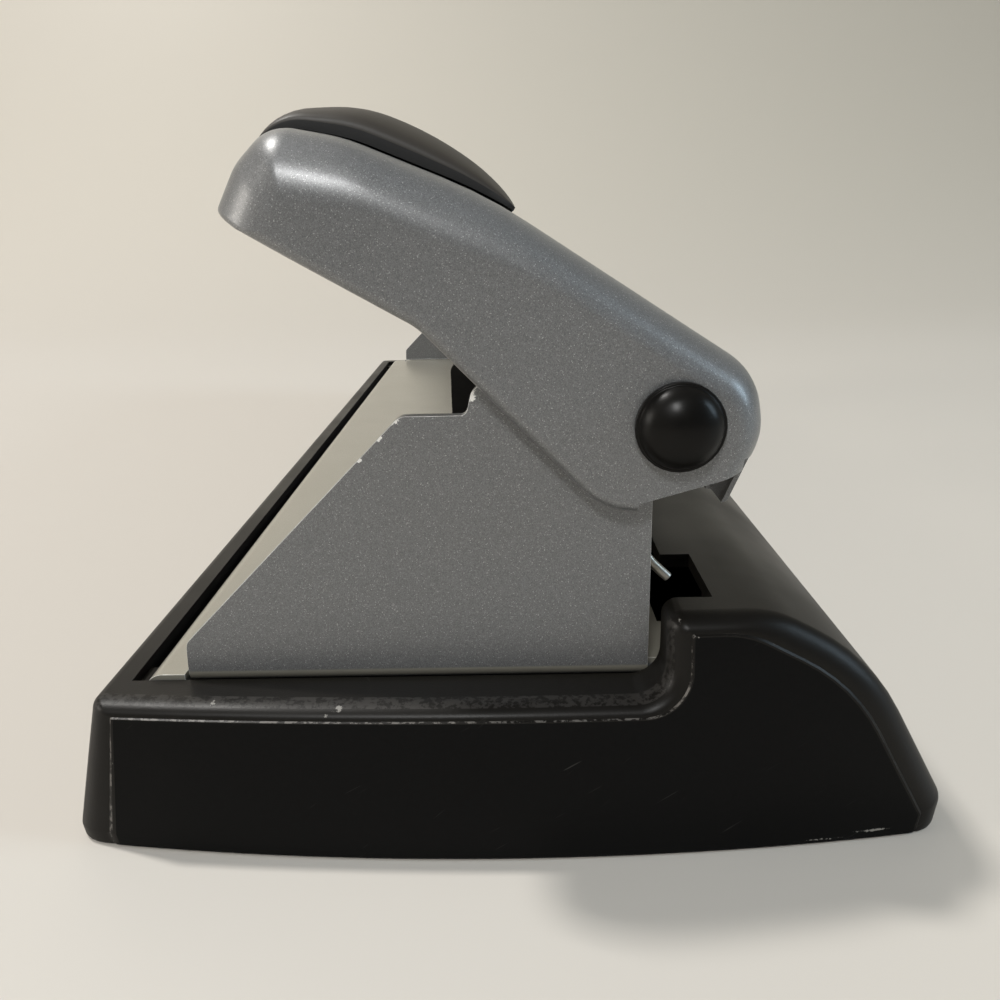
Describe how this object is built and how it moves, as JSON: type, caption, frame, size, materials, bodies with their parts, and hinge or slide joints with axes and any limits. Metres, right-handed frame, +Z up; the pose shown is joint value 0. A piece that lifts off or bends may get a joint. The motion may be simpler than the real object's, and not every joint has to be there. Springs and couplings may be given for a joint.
{
  "type": "paper hole punch",
  "caption": "Desk paper punch: a long pressed handle on a rear pivot drives spring-lifted pins through sheets laid on a steel bed over a black chip tray.",
  "frame": {"origin": "on the table, under the middle of the tray", "axes": "+Z up, +Y along the punch away from the end the picture shows, +X towards the pivot and the hump"},
  "size_m": [0.1139, 0.3092, 0.0911],
  "materials": {
    "black_plastic": "moulded satin black, worn along its edges",
    "silver_paint": "fine metallic silver-grey paint with bare sheet edges",
    "black_rubber": "smooth black",
    "black_head": "black coated casting",
    "bright_steel": "bright drawn or ground steel",
    "grey_nylon": "dark grey"
  },
  "bodies": {
    "tray": {"base_tray": "black_plastic"},
    "punch_frame": {"bed_plate": "silver_paint", "pivot_rod": "bright_steel", "pivot_cap_near": "black_plastic", "pivot_cap_far": "black_plastic", "pivot_spacer_near": "grey_nylon", "pivot_spacer_far": "grey_nylon", "handle_spring_near": "bright_steel", "handle_spring_far": "bright_steel", "punch_head_1": "black_head", "punch_head_2": "black_head", "punch_head_3": "black_head", "punch_spring_1": "bright_steel", "punch_spring_2": "bright_steel", "punch_spring_3": "bright_steel", "punch_die_1": "bright_steel", "punch_die_2": "bright_steel", "punch_die_3": "bright_steel", "head_screw_1": "bright_steel", "head_screw_2": "bright_steel", "head_screw_3": "bright_steel", "head_screw_4": "bright_steel", "head_screw_5": "bright_steel", "head_screw_6": "bright_steel"},
    "handle": {"handle": "silver_paint", "handle_pad": "black_rubber", "presser_bar": "bright_steel"},
    "pin_1": {"punch_pin_1": "bright_steel", "pin_clip_1": "bright_steel"},
    "pin_2": {"punch_pin_2": "bright_steel", "pin_clip_2": "bright_steel"},
    "pin_3": {"punch_pin_3": "bright_steel", "pin_clip_3": "bright_steel"}
  },
  "joints": [
    {"name": "tray_open", "type": "hinge", "parent": "tray", "child": "punch_frame", "pos_m": [0, 0.1423, 0.0199], "axis": [-1, 0, 0], "range_deg": [0, 30]},
    {"name": "handle_press", "type": "hinge", "parent": "punch_frame", "child": "handle", "pos_m": [0.0213, 0, 0.0537], "axis": [0, -1, 0], "range_deg": [0, 20], "stiffness_Nm_per_rad": 0.5, "springref_deg": -45.84},
    {"name": "pin_1_slide", "type": "slide", "parent": "punch_frame", "child": "pin_1", "axis": [0, 0, -1], "range_m": [0, 0.0074], "deforming": ["punch_spring_1"]},
    {"name": "pin_2_slide", "type": "slide", "parent": "punch_frame", "child": "pin_2", "axis": [0, 0, -1], "range_m": [0, 0.0074], "deforming": ["punch_spring_2"]},
    {"name": "pin_3_slide", "type": "slide", "parent": "punch_frame", "child": "pin_3", "axis": [0, 0, -1], "range_m": [0, 0.0074], "deforming": ["punch_spring_3"]}
  ],
  "couplings": [
    {"joint": "pin_1_slide", "follows": "handle_press", "m_per_rad": 0.0211},
    {"joint": "pin_2_slide", "follows": "handle_press", "m_per_rad": 0.0211},
    {"joint": "pin_3_slide", "follows": "handle_press", "m_per_rad": 0.0211}
  ]
}
